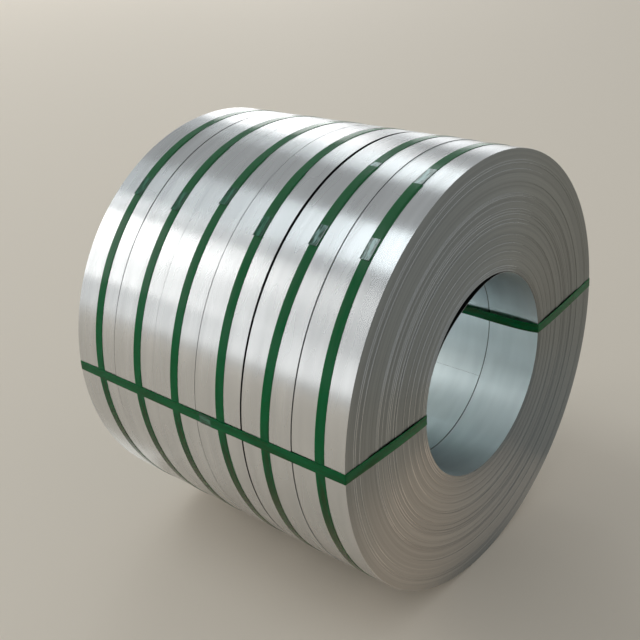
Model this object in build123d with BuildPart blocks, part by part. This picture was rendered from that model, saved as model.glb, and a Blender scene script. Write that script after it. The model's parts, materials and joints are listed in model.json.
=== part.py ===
"""Six slit steel coils lying side by side, strapped into one pack.

Millimetres. X runs along the bore, Z is up and -Y is the front of the pack. The
origin is on the floor under the middle of the pack. Coils and their round straps
are numbered from the -X end to the +X end. Angles are in degrees up from the front.
"""
import os
from math import atan, degrees

from build123d import *

# Strip, as slit and wound
strip_width = 141.1
strip_thick = 1.0
turns = 287
bore_dia = 500.0

# Open seams between neighbouring coils, from the -X end
seam_gaps = (1.5, 0.5, 1.0, 5.0, 2.0)

# Steps in the turns on the two open ends of the pack, from the bore out. Each is the
# share of the wound thickness where it starts, and how far out its turns stand. All
# other ends are flat.
near_end_steps = ((0.0, 0.0), (0.33, 1.2), (0.41, 0.0), (0.74, 1.2), (0.84, 0.0))
far_end_steps = ((0.0, 0.0), (0.82, 0.8))
flat_end = ((0.0, 0.0),)

# Plastic strapping
strap_width = 25.0
strap_thick = 0.9
strap_clear = 0.05

# Round straps: the middle of each at the front, as a share of its own coil's width, how
# far it leans to +X by the top, and the angles between which its two ends lap
strap_shares = (0.605, 0.607, 0.511, 0.563, 0.471, 0.523)
strap_leans = (-13.0, -8.5, -2.0, -11.5, 13.0, -4.0)
strap_laps = ((51.2, 74.5), (49.4, 72.2), (53.9, 70.4), (48.2, 67.9), (49.3, 75.5), (49.1, 71.7))

# Lengthwise straps: the angle of each, the X between which its two ends lap, and how
# far their stiff bend at the bore stands off the open ends
front_angle = 1.5
front_lap = (5.0, 78.0)
back_angle = 175.7
back_lap = (-90.0, -20.0)
bend_clear = 2.5

# Sizes that follow from these
bore_rad = bore_dia / 2
wound_thick = turns * strip_thick
coil_rad = bore_rad + wound_thick
coil_count = len(seam_gaps) + 1
pack_length = coil_count * strip_width + sum(seam_gaps)
round_rad = coil_rad + strap_clear
over_rad = round_rad + strap_thick
eye_rad = over_rad + strap_clear
bore_run = bore_rad - strap_clear

# The pack rests on its round straps
bore_height = over_rad
bore_axis = Axis((0, 0, bore_height), (1, 0, 0))


def radial_plane(x, angle):
    """Plane through the bore's axis whose local Y points out at an angle."""
    return Plane(Location((x, 0, bore_height), (180 - angle, 0, 0)))


def coil_middle(number):
    """X of the middle of coil 1, 2, 3 and so on."""
    before = number - 1
    return (before + 0.5) * strip_width + sum(seam_gaps[:before]) - pack_length / 2


def strap_middle(number):
    """X of the middle of the round strap on that coil."""
    return coil_middle(number) + (strap_shares[number - 1] - 0.5) * strip_width


def end_line(side, steps):
    """Outline (x, radius) of one end of a coil, from the bore out."""
    edge = strip_width / 2
    outline = []
    for (start, out), (stop, _) in zip(steps, steps[1:] + ((1.0, 0.0),)):
        outline += [(edge + out, start), (edge + out, stop)]
    return [(side * x, bore_rad + share * wound_thick) for x, share in outline]


def slit_coil(number):
    """One coil, turned about the bore's axis. Only the pack's two ends are uneven."""
    low_end = end_line(-1, far_end_steps if number == 1 else flat_end)
    high_end = end_line(1, near_end_steps if number == coil_count else flat_end)
    with BuildPart() as coil:
        with BuildSketch(radial_plane(coil_middle(number), 0)):
            with BuildLine():
                Polyline(*low_end, *reversed(high_end), close=True)
            make_face()
        revolve(axis=bore_axis)
    return coil.part


def round_strap(number):
    """The strap round one coil, its two ends lapped, trimmed to its lean."""
    middle = strap_middle(number)
    lean = strap_leans[number - 1]
    lap_start, lap_end = strap_laps[number - 1]
    untrimmed = strap_width + 2 * abs(lean) + 1
    with BuildPart() as strap:
        with BuildSketch(radial_plane(middle, 0)):
            with Locations((0, round_rad + strap_thick / 2)):
                Rectangle(untrimmed, strap_thick)
        revolve(axis=bore_axis)
        with BuildSketch(radial_plane(middle, lap_end)):
            with Locations((0, over_rad + strap_thick / 2)):
                Rectangle(untrimmed, strap_thick)
        revolve(axis=bore_axis, revolution_arc=lap_end - lap_start)
        with Locations(Location((middle, 0, bore_height), (0, degrees(atan(lean / coil_rad)), 0))):
            Box(strap_width, 3 * coil_rad, 3 * coil_rad, mode=Mode.INTERSECT)
    return strap.part


def eye_strap(angle, lap):
    """One strap through the bore and back over the round straps, its two ends lapped."""
    proudest = max(out for start, out in near_end_steps + far_end_steps)
    end = pack_length / 2 + proudest + strap_clear
    first_edge = strap_middle(1) - strap_width / 2
    last_edge = strap_middle(coil_count) + strap_width / 2
    bend = end + bend_clear
    lap_start, lap_end = lap
    lies_on = [
        (-bend, bore_run),
        (bend, bore_run),
        (end, round_rad),
        (last_edge, eye_rad),
        (first_edge, eye_rad),
        (-end, round_rad),
    ]
    sweep = degrees(2 * strap_width / bore_rad)
    with BuildPart() as strap:
        with BuildSketch(radial_plane(0, angle + sweep / 2)):
            with BuildLine():
                Polyline(*lies_on, close=True)
            make_face()
            offset(amount=strap_thick, kind=Kind.INTERSECTION)
            with BuildLine():
                Polyline(*lies_on, close=True)
            make_face(mode=Mode.SUBTRACT)
            with Locations(((lap_start + lap_end) / 2, eye_rad + strap_thick * 3 / 2)):
                Rectangle(lap_end - lap_start, strap_thick)
        revolve(axis=bore_axis, revolution_arc=sweep)
        with Locations(radial_plane(0, angle)):
            Box(2 * pack_length, 4 * coil_rad, strap_width, mode=Mode.INTERSECT)
    return strap.part


os.makedirs("parts", exist_ok=True)
pieces = {
    "eye_strap_front": eye_strap(front_angle, front_lap),
    "eye_strap_back": eye_strap(back_angle, back_lap),
}
for number in range(1, coil_count + 1):
    pieces[f"slit_coil_{number}"] = slit_coil(number)
    pieces[f"round_strap_{number}"] = round_strap(number)
for name, piece in pieces.items():
    piece.label = name
    export_step(piece, f"parts/{name}.step")
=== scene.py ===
"""Six slit steel coils strapped into one pack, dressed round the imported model.

Metres, in the model's own frame: X along the bore, Z up, -Y the front. Angles round
the bore are in degrees up from the front.
"""

import json
import math
import random

import bpy
import numpy as np
from mathutils import Matrix, Vector


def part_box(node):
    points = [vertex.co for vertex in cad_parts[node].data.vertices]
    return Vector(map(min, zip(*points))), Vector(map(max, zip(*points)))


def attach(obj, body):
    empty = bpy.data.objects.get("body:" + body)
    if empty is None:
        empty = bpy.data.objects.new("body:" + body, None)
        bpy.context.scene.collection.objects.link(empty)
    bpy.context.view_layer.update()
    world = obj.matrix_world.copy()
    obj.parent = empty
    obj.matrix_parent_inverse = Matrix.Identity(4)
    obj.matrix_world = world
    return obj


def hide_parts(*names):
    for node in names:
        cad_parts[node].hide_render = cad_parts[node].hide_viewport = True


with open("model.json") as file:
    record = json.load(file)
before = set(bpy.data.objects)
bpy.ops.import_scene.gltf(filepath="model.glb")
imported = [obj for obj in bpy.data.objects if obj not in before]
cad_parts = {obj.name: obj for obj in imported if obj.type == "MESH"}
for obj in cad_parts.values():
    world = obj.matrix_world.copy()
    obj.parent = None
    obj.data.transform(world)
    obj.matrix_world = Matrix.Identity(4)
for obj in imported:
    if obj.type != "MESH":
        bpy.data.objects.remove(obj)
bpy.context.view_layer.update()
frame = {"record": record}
random.seed(7)

# Sizes as in the model's source
COILS = 6
STRIP_THICK = 0.001
STRAP_WIDTH = 0.025
STRAP_THICK = 0.0009
STRAP_CLEAR = 0.00005

# Sizes read from the model
middle_low, middle_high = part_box("slit_coil_3")
COIL_RAD = (middle_high.z - middle_low.z) / 2
BORE_Z = (middle_high.z + middle_low.z) / 2
STRIP_WIDTH = middle_high.x - middle_low.x
BORE_RAD = frame["record"]["mounts"][0]["dims"]["r_mm"] / 1000
WOUND_THICK = COIL_RAD - BORE_RAD
TURNS = round(WOUND_THICK / STRIP_THICK)

# Bands of turns that stand out on the open ends: inner and outer limit as shares of
# the wound thickness, and how far out
NEAR_BANDS = ((0.33, 0.41, 0.0010), (0.74, 0.84, 0.0010))
FAR_BANDS = ((0.82, 1.0, 0.0007),)

# How far each coil's outside lies within the model's at the front and the top
SET_BACKS = {1: 0.0010, 2: 0.0005, 3: 0.0003, 4: 0.0007, 5: 0.0004, 6: 0.0018}

# Coils whose seam with the next one is wider or narrower at the top, and by how much
SEAM_GAPES = {1: 0.0035, 3: -0.0005, 4: 0.0038, 5: -0.0012}

# Seams whose two facing ends are painted near black as shade, each numbered like the coil before
# it
DARK_SEAMS = (1, 4)

# Turns on an open end stand in or out by groups, and a few stand proud alone
GROUP_TURNS = (4, 14)
GROUP_LEVEL = (-0.00011, 0.00009)
TURN_LEVEL = 0.00004
PROUD_SHARE = 0.06
PROUD_LEVEL = (0.0004, 0.0008)

# Edges worn round: the rim's, a proud turn's as a share of its step, and the least that
# is made and that is worn bright. The last number is the bevel of all other edges.
RIM_ROUND = 0.0005
ROUND_SHARE = 0.8
LEAST_ROUND, BRIGHT_ROUND = 0.0001, 0.0003
EDGE_BEVEL = 0.0004

# Coils whose innermost turn shows its end: the angle of that end, and how far round
# that turn goes
INNER_ENDS = {5: 215, 6: 25}
INNER_SPAN = 359.9

# The innermost turn of coil 6 has sprung away from the rest between two angles
SPRUNG_FROM, SPRUNG_TO = 25, 112
SPRUNG_DEPTH = 0.0135

# A strap's edge: the bevel of its lower corner, then the points up its rolled side, as
# distance in from the edge and share of the thickness
STRAP_NIP = 0.0002
ROLLED_EDGE = ((0.0, 0.55), (0.0008, 0.85), (0.0018, 1.0))

# Round straps: how far each leans to +X by the top, the angles between which its two
# ends lap, and how far the upper layer lies to one side of the lower
LEANS = {1: -0.0130, 2: -0.0085, 3: -0.0020, 4: -0.0115, 5: 0.0130, 6: -0.0040}
LAPS = {1: (51.2, 74.5), 2: (49.4, 72.2), 3: (53.9, 70.4),
        4: (48.2, 67.9), 5: (49.3, 75.5), 6: (49.1, 71.7)}
LAP_SKEWS = {1: 0.0026, 2: 0.0030, 3: 0.0024, 4: 0.0028, 5: 0.0026, 6: 0.0034}

# In a lap: the clearance between its layers, the degrees that the upper layer takes to
# step up, the degrees and the height of its lifted cut end, and the degrees from that
# end between which it is welded
LAYER_CLEAR = 0.00003
STEP_UP = 2.5
FREE_END, FREE_LIFT = 2.5, 0.0014
WELD_FROM, WELD_TO = 0.4, 6.2

# How far a round strap wanders to either side of its line, and how often round the coil
WANDER, WANDER_WAVES = 0.0006, 5

# Round straps that also carry a painted window reflection above their lap, and between which
# angles
GLINT_SPANS = {5: (75.2, 77.6), 6: (72.6, 79.0)}

# Lengthwise straps: the angle of each, the X between which its two ends lap, how far
# the upper layer lies to one side, over how many points it steps up, and the share of
# the lap that is welded
EYE_ANGLES = {"eye_strap_front": 1.5, "eye_strap_back": 175.7}
EYE_LAPS = {"eye_strap_front": (0.005, 0.078), "eye_strap_back": (-0.090, -0.020)}
EYE_SKEW = 0.0008
EYE_STEP_UP = 2
EYE_WELD_SHARE = 0.6

# How far the stiff strapping clears the open ends where it bends, and how far it bows
# off them between the bends. A power under 1 puts the widest place nearer the bore.
END_CLEAR = 0.0003
NEAR_BOW, FAR_BOW = 0.0032, 0.0006
BOW_POWER = 0.7

# How far it bows off the bore's wall, and how far in from an open end it does so most
BORE_BOW, BORE_BOW_REACH = 0.0075, 0.080

# A lengthwise strap's path: how many points it has in the bore and up each end, how far
# apart those of its outer run are, and how far inside the coils' radius that run begins.
# Corners that open wider than the last number of degrees aren't rounded.
BORE_POINTS, END_POINTS = 90, 40
OUTER_STEP = 0.012
OUTER_DEPTH = 0.01
OPEN_CORNER = 150

# The photograph's camera: place, heading left of +Y, dip below level, roll, and focal
# length over the width of the picture
CAMERA_PLACE = (1.4266, -1.6883, 1.1143 + BORE_Z)
CAMERA_HEADING = 41.907
CAMERA_DIP = 25.994
CAMERA_ROLL = -4.028
FOCAL_SHARE = 934.28 / 640

# Steps round a coil, round an innermost turn and along a round strap
COIL_STEPS = 144
INNER_STEPS = 240
ROUND_STRAP_STEPS = 420


def place_camera():
    data = bpy.data.cameras.new("camera")
    data.sensor_fit = "HORIZONTAL"
    data.sensor_width = 36
    data.lens = FOCAL_SHARE * data.sensor_width
    data.clip_end = 200
    camera = bpy.data.objects.new("camera", data)
    bpy.context.scene.collection.objects.link(camera)
    turn = Matrix.Rotation(math.radians(CAMERA_HEADING), 4, "Z")
    dip = Matrix.Rotation(math.radians(90 - CAMERA_DIP), 4, "X")
    roll = Matrix.Rotation(math.radians(CAMERA_ROLL), 4, "Z")
    camera.matrix_world = Matrix.Translation(CAMERA_PLACE) @ turn @ dip @ roll
    bpy.context.scene.camera = camera


# Materials

# Strapping from where it faces down to where it faces up: a painted brown reflection of the floor
# underneath, plain green between, and painted light on top
FACING_LIGHT_STOPS = ((0.07, (0.030, 0.060, 0.014)), (0.16, (0.010, 0.063, 0.014)),
              (0.25, (0.001, 0.100, 0.028)), (0.35, (0.001, 0.125, 0.036)),
              (0.45, (0.001, 0.125, 0.036)), (0.64, (0.026, 0.128, 0.054)))


class Nodes:
    """A material's node tree, with short calls to add and join nodes."""

    def __init__(self, name):
        self.material = bpy.data.materials.new(name)
        self.material.use_nodes = True
        self.tree = self.material.node_tree
        self.shader = self.tree.nodes["Principled BSDF"]

    def add(self, kind, **values):
        node = self.tree.nodes.new(kind)
        for key, value in values.items():
            if key in node.inputs:
                node.inputs[key].default_value = value
            else:
                setattr(node, key, value)
        return node

    def join(self, source, output, target, socket):
        self.tree.links.new(source.outputs[output], target.inputs[socket])

    def set(self, **values):
        for key, value in values.items():
            self.shader.inputs[key.replace("_", " ")].default_value = value

    def math(self, operation, first, second=None):
        """A Math node's (node, output). An operand is a number or such a pair."""
        node = self.add("ShaderNodeMath", operation=operation)
        for index, operand in enumerate((first, second)):
            if isinstance(operand, tuple):
                self.tree.links.new(operand[0].outputs[operand[1]], node.inputs[index])
            elif operand is not None:
                node.inputs[index].default_value = operand
        return node, 0

    def bore_coordinates(self):
        """Radius from the bore's axis, angle round it, and X, as (node, output)."""
        place = self.add("ShaderNodeTexCoord")
        split = self.add("ShaderNodeSeparateXYZ")
        self.join(place, "Object", split, "Vector")
        height = self.math("SUBTRACT", (split, "Z"), BORE_Z)
        y_square = self.math("MULTIPLY", (split, "Y"), (split, "Y"))
        z_square = self.math("MULTIPLY", height, height)
        radius = self.math("SQRT", self.math("ADD", y_square, z_square))
        angle = self.math("ARCTAN2", height, (split, "Y"))
        return radius, angle, (split, "X")

    def strap_coordinates(self):
        """Distance along and across a strap, from its UV map."""
        place = self.add("ShaderNodeTexCoord")
        split = self.add("ShaderNodeSeparateXYZ")
        self.join(place, "UV", split, "Vector")
        return (split, "X"), (split, "Y")

    def streaks(self, first, second, scales, detail=3):
        """Noise stretched by a scale along each of two coordinates."""
        vector = self.add("ShaderNodeCombineXYZ")
        for axis, scale, socket in zip((first, second), scales, "XY"):
            node, output = self.math("MULTIPLY", axis, scale)
            self.join(node, output, vector, socket)
        noise = self.add("ShaderNodeTexNoise", Scale=1.0, Detail=detail, Roughness=0.6)
        self.join(vector, "Vector", noise, "Vector")
        return noise, "Fac"

    def facing_up(self):
        """How far a face looks up, from -1 to 1."""
        shape = self.add("ShaderNodeNewGeometry")
        split = self.add("ShaderNodeSeparateXYZ")
        self.join(shape, "Normal", split, "Vector")
        return split, "Z"

    def ramp(self, source, stops, socket):
        """Feeds a shader socket from a ramp of (place, colour) stops."""
        node = self.add("ShaderNodeValToRGB")
        elements = node.color_ramp.elements
        while len(elements) < len(stops):
            elements.new(0.5)
        for element, (place, colour) in zip(elements, stops):
            element.position = place
            element.color = (*colour, 1)
        self.join(source[0], source[1], node, "Fac")
        self.join(node, "Color", self.shader, socket)

    def bump(self, source, strength, distance):
        node = self.add("ShaderNodeBump", Strength=strength, Distance=distance)
        self.join(source[0], source[1], node, "Height")
        self.join(node, "Normal", self.shader, "Normal")

    def grain_round_bore(self, anisotropic):
        """Stretches the highlights across the grain, which runs round the bore."""
        tangent = self.add("ShaderNodeTangent", direction_type="RADIAL", axis="X")
        self.join(tangent, "Tangent", self.shader, "Tangent")
        self.set(Metallic=1.0, Anisotropic=anisotropic, Anisotropic_Rotation=0.25)


def grey(value):
    return (value, value, value)


def rolled_steel(name, dark, bright, roughness, anisotropic):
    """Bright cold-rolled strip, a little cloudy in its colour and its gloss."""
    nodes = Nodes(name)
    _, angle, along = nodes.bore_coordinates()
    broad = nodes.streaks(along, angle, (35, 2.0), detail=1)
    cloudy = nodes.streaks(along, angle, (40, 4.0), detail=0)
    nodes.ramp(broad, ((0.3, dark), (0.7, bright)), "Base Color")
    nodes.ramp(cloudy, ((0.3, grey(roughness)), (0.7, grey(roughness + 0.02))), "Roughness")
    nodes.grain_round_bore(anisotropic)
    return nodes.material


def slit_edge():
    """The edges of the turns, duller than the strip's face."""
    nodes = Nodes("slit_edge")
    radius, angle, _ = nodes.bore_coordinates()
    turns = nodes.streaks(radius, angle, (1000, 0.15), detail=2)
    groups = nodes.streaks(radius, angle, (130, 0.25), detail=4)
    both = nodes.math("MULTIPLY", nodes.math("ADD", turns, groups), 0.5)
    nodes.ramp(both, ((0.35, (0.25, 0.265, 0.265)), (0.65, (0.35, 0.37, 0.37))), "Base Color")
    nodes.grain_round_bore(0.9)
    nodes.set(Roughness=0.45)
    nodes.bump(turns, 0.2, 0.0003)
    return nodes.material


def painted_shade_steel():
    """Steel painted near black as shade, for the faces deep in the seams and behind a loose
    turn, where no light comes.
    """
    nodes = Nodes("painted_shade_steel")
    nodes.set(Base_Color=(0.02, 0.02, 0.02, 1), Metallic=1.0, Roughness=0.6)
    return nodes.material


def strapping():
    """Green polyester strapping, glossy, with a fine pressed grain along it. Its colour is
    painted brown where it faces down, as a reflection of the floor, and paler where it
    faces up, as light from above."""
    nodes = Nodes("green_strapping")
    along, across = nodes.strap_coordinates()
    lengthwise = nodes.streaks(along, across, (12, 700))
    cloudy = nodes.streaks(along, across, (9, 60))
    # Painted light and painted reflection: the colour follows how far the face looks up, mixed
    # with cloudy tone
    facing_light_mix = nodes.math("MULTIPLY", nodes.math("ADD", cloudy, nodes.facing_up()), 0.5)
    nodes.ramp(facing_light_mix, FACING_LIGHT_STOPS, "Base Color")
    nodes.ramp(cloudy, ((0.3, grey(0.12)), (0.7, grey(0.26))), "Roughness")
    nodes.set(Specular_IOR_Level=0.13, Subsurface_Weight=1.0, Subsurface_Scale=0.0012)
    nodes.set(Subsurface_Radius=(0.3, 1.0, 0.5))
    nodes.bump(lengthwise, 0.12, 0.0002)
    return nodes.material


def welded_strapping(name, pale, specular):
    """Where two layers are welded: pressed pale along the middle, with fine ridges.
    When the pale is blue-grey and fully specular, it is a painted window reflection.
    """
    nodes = Nodes(name)
    along, across = nodes.strap_coordinates()
    weld_and_glint_streaks = nodes.streaks(along, across, (30, 130), detail=2)
    ridges = nodes.streaks(along, across, (500, 25), detail=1)
    off_middle = nodes.math("MULTIPLY", nodes.math("ABSOLUTE", across), 20.0)
    weld_and_glint_mask = nodes.math("SUBTRACT", weld_and_glint_streaks, off_middle)
    nodes.ramp(weld_and_glint_mask, ((0.33, (0.004, 0.055, 0.025)), (0.50, pale)), "Base Color")
    nodes.set(Roughness=0.10, Specular_IOR_Level=specular)
    nodes.bump(ridges, 0.08, 0.0002)
    return nodes.material


def plain_floor():
    nodes = Nodes("plain_floor")
    nodes.set(Base_Color=(0.80, 0.715, 0.61, 1), Roughness=0.8)
    return nodes.material


# Meshes

def out_of(angle):
    """Unit vector out from the bore at an angle."""
    turn = math.radians(angle)
    return Vector((0, -math.cos(turn), math.sin(turn)))


def round_way(angle):
    """Unit vector along the surface towards greater angles."""
    turn = math.radians(angle)
    return Vector((0, math.sin(turn), math.cos(turn)))


def add_piece(name, points, faces, materials, node):
    """A smooth mesh on the root body, in the place of a node if one is given."""
    mesh = bpy.data.meshes.new(name)
    mesh.from_pydata(points, [], faces)
    for material in materials:
        mesh.materials.append(material)
    mesh.shade_smooth()
    piece = bpy.data.objects.new(name, mesh)
    bpy.context.scene.collection.objects.link(piece)
    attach(piece, "root")
    if node:
        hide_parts(node)
    return piece


# A coil's material slots; SHADE holds steel painted near black as shade
FACE, EDGE, BORE, SHADE = 0, 1, 2, 3


def turned(name, outline, set_back, gape, materials, node):
    """Turns a closed outline of (x, radius, material) points about the bore's axis.

    A point's material is that of the ring from it to the next point. The set-back
    draws the outside in at the front and the top, and leaves the bore alone. The gape
    draws the high end's outside back towards the top.
    """
    x, radius = (np.array([point[k] for point in outline])[:, None] for k in (0, 1))
    share = np.clip((radius - BORE_RAD) / WOUND_THICK, 0, 1)
    shift = share * set_back / 2
    angles = np.arange(COIL_STEPS) * 2 * math.pi / COIL_STEPS
    count = len(outline)
    points = np.empty((count, COIL_STEPS, 3))
    points[:, :, 0] = x - gape * (x > x.mean()) * share * np.clip(np.sin(angles), 0, 1) ** 2
    points[:, :, 1] = shift - (radius - shift) * np.cos(angles)
    points[:, :, 2] = BORE_Z - shift + (radius - shift) * np.sin(angles)
    ring, step = np.meshgrid(np.arange(count), np.arange(COIL_STEPS), indexing="ij")
    next_ring, next_step = (ring + 1) % count, (step + 1) % COIL_STEPS
    corners = [(ring, step), (next_ring, step), (next_ring, next_step), (ring, next_step)]
    faces = np.stack([a * COIL_STEPS + b for a, b in corners], axis=-1).reshape(-1, 4)
    piece = add_piece(name, points.reshape(-1, 3).tolist(), faces.tolist(), materials, node)
    mesh = piece.data
    slots = np.repeat([point[2] for point in outline], COIL_STEPS)
    mesh.polygons.foreach_set("material_index", slots.astype(np.int32))
    edges = np.empty(len(mesh.edges) * 2, np.int32)
    mesh.edges.foreach_get("vertices", edges)
    rings = edges.reshape(-1, 2) // COIL_STEPS
    # The edges that run round the bore are sharp, and those along the outline smooth
    sharp = mesh.attributes.new("sharp_edge", "BOOLEAN", "EDGE")
    sharp.data.foreach_set("value", rings[:, 0] == rings[:, 1])
    return piece


def flat_end(side, x, inner_rad, mark):
    """Outline of an end that faces the next coil, from the bore out."""
    inset = -side * EDGE_BEVEL
    return [
        (x + inset, inner_rad, EDGE), (x, inner_rad + EDGE_BEVEL, mark),
        (x, COIL_RAD - EDGE_BEVEL, FACE), (x + inset, COIL_RAD, FACE),
    ]


def turn_levels(first_turn, bands):
    """How far each turn stands out of an open end, from the given turn on."""
    furthest = max(out for inner, outer, out in bands)
    levels = []
    group_left, level = 0, 0.0
    for turn in range(first_turn, TURNS):
        if group_left == 0:
            group_left = random.randint(*GROUP_TURNS)
            level = random.uniform(*GROUP_LEVEL)
        group_left -= 1
        share = (turn + 0.5) / TURNS
        band = sum(out for inner, outer, out in bands if inner < share < outer)
        proud = random.uniform(*PROUD_LEVEL) if random.random() < PROUD_SHARE else 0
        own = random.uniform(-TURN_LEVEL, TURN_LEVEL)
        levels.append(min(band + level + proud + own, furthest))
    return levels


def wound_end(side, x, inner_rad, bands):
    """Outline of an open end, its turns standing in or out one by one.

    A turn that stands out of the next one, and the rim, has its outer edge rounded off.
    """
    first_turn = round((inner_rad - BORE_RAD) / STRIP_THICK)
    levels = turn_levels(first_turn, bands)
    outline = []
    for index, out in enumerate(levels):
        at = x + side * out
        turn_rad = BORE_RAD + (first_turn + index) * STRIP_THICK
        drop = out - levels[index + 1] if index + 1 < len(levels) else RIM_ROUND
        nip = min(RIM_ROUND, max(0.0, ROUND_SHARE * drop))
        worn = FACE if nip > BRIGHT_ROUND else EDGE
        outline += [(at, turn_rad, EDGE), (at, turn_rad + STRIP_THICK - nip, worn)]
        if nip > LEAST_ROUND:
            outline.append((at - side * nip, turn_rad + STRIP_THICK, EDGE))
    last_x, last_radius, _ = outline[-1]
    outline[-1] = (last_x, last_radius, FACE)
    return outline


def coil_ends(number):
    """X of a coil's two faces, without the turns that stand out of them."""
    low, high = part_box(f"slit_coil_{number}")
    if number == 1:
        return high.x - STRIP_WIDTH, high.x
    return low.x, low.x + STRIP_WIDTH


def seam_mark(seam):
    """Material of the two ends that face each other across a seam."""
    return SHADE if seam in DARK_SEAMS else EDGE


def coil_outline(number):
    """Outline of a whole coil: its low end outwards, then its high end inwards."""
    first_x, last_x = coil_ends(number)
    inner_rad = BORE_RAD + (2 * STRIP_THICK if number in INNER_ENDS else 0)
    if number == 1:
        low_end = wound_end(-1, first_x, inner_rad, FAR_BANDS)
    else:
        low_end = flat_end(-1, first_x, inner_rad, seam_mark(number - 1))
    if number == COILS:
        high_end = wound_end(1, last_x, inner_rad, NEAR_BANDS)
    else:
        high_end = flat_end(1, last_x, inner_rad, seam_mark(number))
    # The high end is walked from the outside in, so its rings take the next point's
    # material, and its last ring is the bore. Behind an innermost turn that bore is painted
    # near black as shade.
    back = list(reversed(high_end))
    marks = [point[2] for point in back[1:]] + [SHADE if number in INNER_ENDS else BORE]
    return low_end + [(x, radius, mark) for (x, radius, _), mark in zip(back, marks)]


def make_coil(number, materials):
    node = f"slit_coil_{number}"
    outline = coil_outline(number)
    gape = SEAM_GAPES.get(number, 0.0)
    piece = turned(f"wound_{node}", outline, SET_BACKS[number], gape, materials, node)
    return piece


def sprung(number, angle):
    """How far the innermost turn stands off the rest at an angle."""
    if number != COILS or not SPRUNG_FROM < angle < SPRUNG_TO:
        return 0.0
    share = (angle - SPRUNG_FROM) / (SPRUNG_TO - SPRUNG_FROM)
    return SPRUNG_DEPTH * math.sin(math.pi * share) ** 2


def make_inner_turn(number, materials):
    """The innermost turn as an open strip, so that its end shows in the bore."""
    first_x, last_x = coil_ends(number)
    start = INNER_ENDS[number]
    nip = EDGE_BEVEL
    outline = [
        (first_x + nip, 0), (last_x - nip, 0),
        (last_x, nip), (last_x, STRIP_THICK - nip),
        (last_x - nip, STRIP_THICK), (first_x + nip, STRIP_THICK),
        (first_x, STRIP_THICK - nip), (first_x, nip),
    ]
    # The turn's sides in a seam and its outer side against the body are painted near black as
    # shade
    high_side = FACE if number == COILS else SHADE
    slots = [BORE, EDGE, high_side, EDGE, SHADE, EDGE, SHADE, EDGE]
    axis = Vector((0, 0, BORE_Z))
    sections = []
    for k in range(INNER_STEPS + 1):
        angle = start + INNER_SPAN * k / INNER_STEPS
        radius = BORE_RAD + STRIP_THICK * k / INNER_STEPS - sprung(number, angle)
        out = out_of(angle)
        sections.append([axis + Vector((x, 0, 0)) + out * (radius + rise) for x, rise in outline])
    points = [point for section in sections for point in section]
    faces, marks = ribbon_faces(len(sections), len(outline), slots)
    piece = add_piece(f"inner_turn_{number}", points, faces, materials, None)
    piece.data.polygons.foreach_set("material_index", marks)
    piece.data.set_sharp_from_angle(angle=math.radians(30))
    return piece


def ribbon_faces(sections, rows, slots):
    """Faces of an open ribbon of equal sections, and the material of each."""
    faces, marks = [], []
    for index in range(sections - 1):
        here, there = index * rows, (index + 1) * rows
        for k in range(rows):
            after = (k + 1) % rows
            faces.append((here + k, here + after, there + after, there + k))
            marks.append(slots[k])
    last = (sections - 1) * rows
    faces += [tuple(reversed(range(rows))), tuple(last + k for k in range(rows))]
    return faces, marks + [slots[1]] * 2


def strap_outline():
    """Cross-section (across, outwards) of a strap, its outer edges rolled thin."""
    half = STRAP_WIDTH / 2
    nip = STRAP_NIP
    inner = [(across * half / 4, 0.0) for across in range(-3, 4)]
    rolled = [(half, nip)]
    rolled += [(half - inset, share * STRAP_THICK) for inset, share in ROLLED_EDGE]
    outer = rolled + [(across * half / 4, STRAP_THICK) for across in range(3, -4, -1)]
    other = [(-across, up) for across, up in reversed(rolled)]
    return [(-half + nip, 0.0)] + inner + [(half - nip, 0.0)] + outer + other


def make_strap(name, sections, welds_and_glints, materials, node):
    """A strap from its sections in order, and which of them take the second material:
    the welds, and on straps 5 and 6 also a painted window reflection.
    """
    outline = strap_outline()
    points = [point for section in sections for point in section]
    faces, _ = ribbon_faces(len(sections), len(outline), [0] * len(outline))
    piece = add_piece(name, points, faces, materials, node)
    mesh = piece.data
    middles = [sum(section, Vector()) / len(section) for section in sections]
    lengths = [0.0]
    for before, after in zip(middles, middles[1:]):
        lengths.append(lengths[-1] + (after - before).length)
    rows = len(outline)
    layer = mesh.uv_layers.new(name="strap")
    for loop in mesh.loops:
        section, row = divmod(loop.vertex_index, rows)
        layer.data[loop.index].uv = (lengths[section], outline[row][0])
    for face in mesh.polygons:
        if welds_and_glints[face.vertices[0] // rows]:
            face.material_index = 1
    mesh.set_sharp_from_angle(angle=math.radians(40))
    return piece


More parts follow.
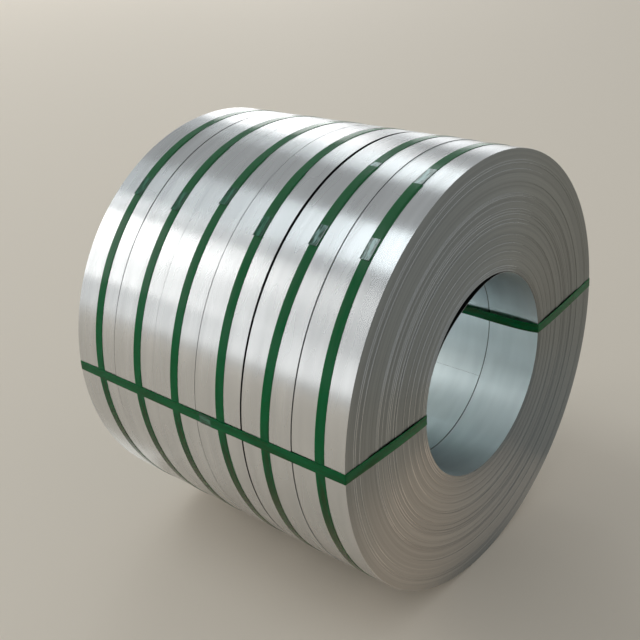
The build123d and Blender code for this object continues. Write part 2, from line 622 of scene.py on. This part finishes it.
def make_round_strap(number, materials):
    """The strap round one coil, from its covered end down the front, under the coil, up
    the back and over the top, and then on top of itself to its cut end."""
    node = f"round_strap_{number}"
    low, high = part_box(node)
    middle = (low.x + high.x) / 2
    shift = SET_BACKS[number] / 2
    lap_start, lap_end = LAPS[number]
    glint_from, glint_to = GLINT_SPANS.get(number, (0, 0))
    span = 360 + lap_end - lap_start
    phase = random.uniform(0, 2 * math.pi)
    sections, welds_and_glints = [], []
    for k in range(ROUND_STRAP_STEPS + 1):
        share = k / ROUND_STRAP_STEPS
        travelled = span * share
        left = span - travelled
        angle = lap_end - travelled
        over = min(1.0, max(0.0, (travelled - 360 + STEP_UP) / STEP_UP))
        free = FREE_LIFT * max(0.0, 1 - left / FREE_END) ** 2
        rise = COIL_RAD - shift + STRAP_CLEAR + over * (STRAP_THICK + LAYER_CLEAR) + free
        wander = WANDER * math.sin(math.radians(WANDER_WAVES * angle) + phase)
        x = middle + LEANS[number] * math.sin(math.radians(angle)) + wander
        x += LAP_SKEWS[number] * (0.5 - share)
        out = out_of(angle)
        axis = Vector((x, shift, BORE_Z - shift))
        sections.append([axis + Vector((across, 0, 0)) + out * (rise + up)
                         for across, up in strap_outline()])
        # These sections take the pale second material: the welds, and above the lap a painted
        # window reflection
        welds_and_glints.append(WELD_FROM < left < WELD_TO or glint_from < angle + 360 < glint_to)
    return make_strap(f"strapping_{node}", sections, welds_and_glints, materials, node)


def straight(first, last, count):
    """Points from the first to just before the last."""
    (x, y), (to_x, to_y) = first, last
    return [(x + (to_x - x) * k / count, y + (to_y - y) * k / count) for k in range(count)]


def upper_hull(points):
    """The line that a taut strap takes over (x, radius) points, from the lowest X."""
    hull = []
    for point in sorted(points):
        while len(hull) > 1:
            (ax, ay), (bx, by) = hull[-2:]
            if (bx - ax) * (point[1] - ay) < (by - ay) * (point[0] - ax):
                break
            hull.pop()
        hull.append(point)
    return hull


def surface_rad(number, angle):
    """Radius of a coil's outside at an angle, seen from the bore's axis."""
    turn = math.radians(angle)
    return COIL_RAD - SET_BACKS[number] / 2 * (1 + math.cos(turn) + math.sin(turn))


def outer_run(angle):
    """Inner side of a lengthwise strap's run over the coils and the round straps."""
    props = []
    for number in range(1, COILS + 1):
        radius = surface_rad(number, angle) + STRAP_CLEAR
        low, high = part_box(f"round_strap_{number}")
        middle = (low.x + high.x) / 2 + LEANS[number] * math.sin(math.radians(angle))
        over_strap = radius + STRAP_THICK + STRAP_CLEAR
        props += [(x, radius) for x in coil_ends(number)]
        props += [(middle + side * STRAP_WIDTH / 2, over_strap) for side in (-1, 1)]
    return upper_hull(props)


def bore_bow(x, ends):
    """How far the strap stands off the bore's wall at an X."""
    total = 0.0
    for end in ends:
        share = abs(x - end) / BORE_BOW_REACH
        total += BORE_BOW * share * math.exp(1 - share)
    return total


def rounded(path, bend=0.0012, count=4):
    """The same closed path with each sharp corner cut by a small curve."""
    smooth = []
    for k, point in enumerate(path):
        corner = Vector(point)
        before = Vector(path[k - 1]) - corner
        after = Vector(path[(k + 1) % len(path)]) - corner
        if before.angle(after) > math.radians(OPEN_CORNER):
            smooth.append(point)
            continue
        first = corner + before.normalized() * bend
        last = corner + after.normalized() * bend
        for step in range(count + 1):
            share = step / count
            pull = 2 * corner * share * (1 - share)
            smooth.append(tuple(first * (1 - share) ** 2 + pull + last * share ** 2))
    return smooth


def eye_path(angle):
    """Inner side of a lengthwise strap, as (x, radius) points of a closed loop.

    It runs along the bore towards +X, up the near end, back over the straps and down
    the far end.
    """
    low_x, high_x = coil_ends(1)[0] - END_CLEAR, coil_ends(COILS)[1] + END_CLEAR
    wall = BORE_RAD - STRAP_CLEAR
    over = outer_run(angle)
    loop = []
    for x, radius in straight((low_x, wall), (high_x, wall), BORE_POINTS):
        loop.append((x, radius - bore_bow(x, (low_x, high_x))))
    for x, radius in straight((high_x, wall), (high_x, over[-1][1]), END_POINTS):
        share = (radius - wall) / (over[-1][1] - wall)
        loop.append((x + NEAR_BOW * math.sin(math.pi * share ** BOW_POWER), radius))
    corners = [(high_x, over[-1][1])] + list(reversed(over[1:-1])) + [(low_x, over[0][1])]
    for first, last in zip(corners, corners[1:]):
        loop += straight(first, last, max(2, round(abs(first[0] - last[0]) / OUTER_STEP)))
    for x, radius in straight((low_x, over[0][1]), (low_x, wall), END_POINTS):
        share = (radius - wall) / (over[0][1] - wall)
        loop.append((x - FAR_BOW * math.sin(math.pi * share ** BOW_POWER), radius))
    return rounded(loop)


def make_eye_strap(node, materials):
    """A strap through the bore and back over the round straps, with its lap."""
    angle = EYE_ANGLES[node]
    out, way = out_of(angle), round_way(angle)
    lap_start, lap_end = EYE_LAPS[node]
    path = eye_path(angle)
    # The route starts on the outer run at the covered end, and goes round until it has
    # passed over itself
    outer = [k for k, (x, radius) in enumerate(path) if radius > COIL_RAD - OUTER_DEPTH]
    first = min(outer, key=lambda k: abs(path[k][0] - lap_end))
    length = len(path)
    lapped = sum(1 for k in outer if lap_start < path[k][0] < lap_end)
    route = [path[(first + k) % length] for k in range(length + lapped + 1)]
    sections, welds_and_glints = [], []
    for k, point in enumerate(route):
        after = path[(first + k + 1) % length]
        before = path[(first + k - 1) % length]
        along = Vector((after[0] - before[0], after[1] - before[1])).normalized()
        normal = (along.y, -along.x)
        left = length + lapped - k
        over = min(1.0, max(0.0, (k - length + EYE_STEP_UP) / EYE_STEP_UP))
        lift = over * STRAP_THICK
        section = []
        for across, up in strap_outline():
            x = point[0] + normal[0] * (up + lift)
            radius = point[1] + normal[1] * (up + lift)
            radius = math.sqrt(radius * radius - across * across)
            sideways = way * (across - EYE_SKEW * over)
            section.append(Vector((x, 0, BORE_Z)) + out * radius + sideways)
        sections.append(section)
        welds_and_glints.append(over == 1 and 0 < left < lapped * EYE_WELD_SHARE)
    return make_strap(f"strapping_{node}", sections, welds_and_glints, materials, node)


# Stage

# Half the floor's side, how far off the soft boxes are, and how high the cards lie
FLOOR_REACH = 40
BOX_DISTANCE = 22.0
CARD_HEIGHT = 0.004

# Soft boxes: from and to angle, from and to share of their direction along X, then
# radiance and colour. Together they light a plain surface to about its own colour.
SOFT_BOXES = {
    "low_window": (4, 21, -0.75, 0.0, 0.75, (1.0, 1.0, 0.98)),
    "far_window": (42, 66, -0.995, -0.86, 6.0, (1.0, 1.0, 0.98)),
    "far_edge": (19, 62, -0.86, -0.72, 2.9, (1.0, 1.0, 0.98)),
    "far_top": (64, 78, -0.995, -0.76, 2.6, (0.97, 1.0, 1.0)),
    "upper_window": (66, 88, -0.56, -0.36, 3.0, (0.88, 0.97, 1.0)),
    "roof_light": (120, 138, -0.58, -0.42, 2.0, (0.90, 0.98, 1.0)),
    "back_window": (147, 178, -0.73, -0.60, 2.8, (1.0, 1.0, 1.0)),
    "back_left": (156, 184, -0.97, -0.76, 1.3, (1.0, 1.0, 1.0)),
    "back_right": (162, 184, -0.56, -0.42, 1.1, (0.97, 0.99, 1.0)),
}

# Reflectors on the floor beyond the two ends: X of the middle, size along X and Y,
# radiance and colour. The near one shows in the end's foot, the far one in the bore.
FLOOR_CARDS = {
    "near_card": (0.69, 0.45, 0.95, 0.42, (1.0, 0.74, 0.55)),
    "far_card": (-0.80, 0.55, 1.0, 0.35, (0.95, 1.0, 1.0)),
}


def add_lamp(name, width, height, radiance, colour):
    """An area lamp of an even radiance, which the camera doesn't see."""
    data = bpy.data.lights.new(name, "AREA")
    data.shape = "RECTANGLE"
    data.size = width
    data.size_y = height
    data.energy = radiance * math.pi * width * height
    data.color = colour
    lamp = bpy.data.objects.new(name, data)
    bpy.context.scene.collection.objects.link(lamp)
    lamp.visible_camera = False
    return lamp


def floor_card(name, x, length, width, radiance, colour):
    """A lamp flat on the floor that shines up."""
    lamp = add_lamp(name, length, width, radiance, colour)
    lamp.location = (x, 0.0, CARD_HEIGHT)
    lamp.rotation_euler = (math.pi, 0, 0)


def soft_box(name, from_angle, to_angle, from_lean, to_lean, radiance, colour):
    """A lamp that fills a range of directions, seen from the pack."""
    angle = (from_angle + to_angle) / 2
    tilt = (math.asin(from_lean) + math.asin(to_lean)) / 2
    out = out_of(angle)
    direction = out * math.cos(tilt) + Vector((math.sin(tilt), 0, 0))
    across = Vector((math.cos(tilt), 0, 0)) - out * math.sin(tilt)
    width = 2 * BOX_DISTANCE * math.tan((math.asin(to_lean) - math.asin(from_lean)) / 2)
    height = 2 * BOX_DISTANCE * math.cos(tilt) * math.tan(math.radians(to_angle - from_angle) / 2)
    lamp = add_lamp(name, width, height, radiance, colour)
    place = Vector((0, 0, BORE_Z)) + direction * BOX_DISTANCE
    turn = Matrix((across, direction.cross(across), direction)).transposed().to_4x4()
    lamp.matrix_world = Matrix.Translation(place) @ turn


def light_world():
    """A dim sky, pale at the horizon."""
    world = bpy.data.worlds.new("studio")
    bpy.context.scene.world = world
    world.use_nodes = True
    tree = world.node_tree
    place = tree.nodes.new("ShaderNodeTexCoord")
    split = tree.nodes.new("ShaderNodeSeparateXYZ")
    tree.links.new(place.outputs["Generated"], split.inputs["Vector"])
    fade = tree.nodes.new("ShaderNodeMapRange")
    limits = {"From Min": 0.08, "From Max": 0.25, "To Min": 0.58, "To Max": 0.44}
    for socket, value in limits.items():
        fade.inputs[socket].default_value = value
    tree.links.new(split.outputs["Z"], fade.inputs["Value"])
    tree.links.new(fade.outputs["Result"], tree.nodes["Background"].inputs["Strength"])
    tree.nodes["Background"].inputs["Color"].default_value = (0.95, 0.99, 1, 1)


def lay_floor(material):
    mesh = bpy.data.meshes.new("floor")
    signs = ((-1, -1), (1, -1), (1, 1), (-1, 1))
    corners = [(x * FLOOR_REACH, y * FLOOR_REACH, 0) for x, y in signs]
    mesh.from_pydata(corners, [], [(0, 1, 2, 3)])
    mesh.materials.append(material)
    floor = bpy.data.objects.new("floor", mesh)
    bpy.context.scene.collection.objects.link(floor)


# The pack, and then its stage

outside = rolled_steel("rolled_steel", (0.63, 0.635, 0.64), (0.70, 0.705, 0.71), 0.26, 0.85)
# The bore is the same strip as the outside, but its colour is brighter and bluer: painted bluish
# light in the bore
painted_light_bore = rolled_steel("bore_steel_painted_light", (0.80, 0.87, 0.89), (0.86, 0.93, 0.95), 0.33, 0.75)
steel = [outside, slit_edge(), painted_light_bore, painted_shade_steel()]
green = strapping()
straps = [green, welded_strapping("welded_strapping", (0.035, 0.17, 0.10), 0.5)]
# On straps 5 and 6 the welds and the spans above them are painted pale blue-grey and fully
# specular: a painted window reflection over the weld marks
glinting_straps = [green, welded_strapping("weld_and_glint_strapping", (0.22, 0.38, 0.36), 1.0)]
for number in range(1, COILS + 1):
    make_coil(number, steel)
    make_round_strap(number, glinting_straps if number in GLINT_SPANS else straps)
for number in INNER_ENDS:
    make_inner_turn(number, steel)
for name in EYE_ANGLES:
    make_eye_strap(name, straps)

place_camera()
lay_floor(plain_floor())
light_world()
for name, box in SOFT_BOXES.items():
    soft_box(name, *box)
for name, card in FLOOR_CARDS.items():
    floor_card(name, *card)
bpy.context.scene.view_settings.view_transform = "Standard"
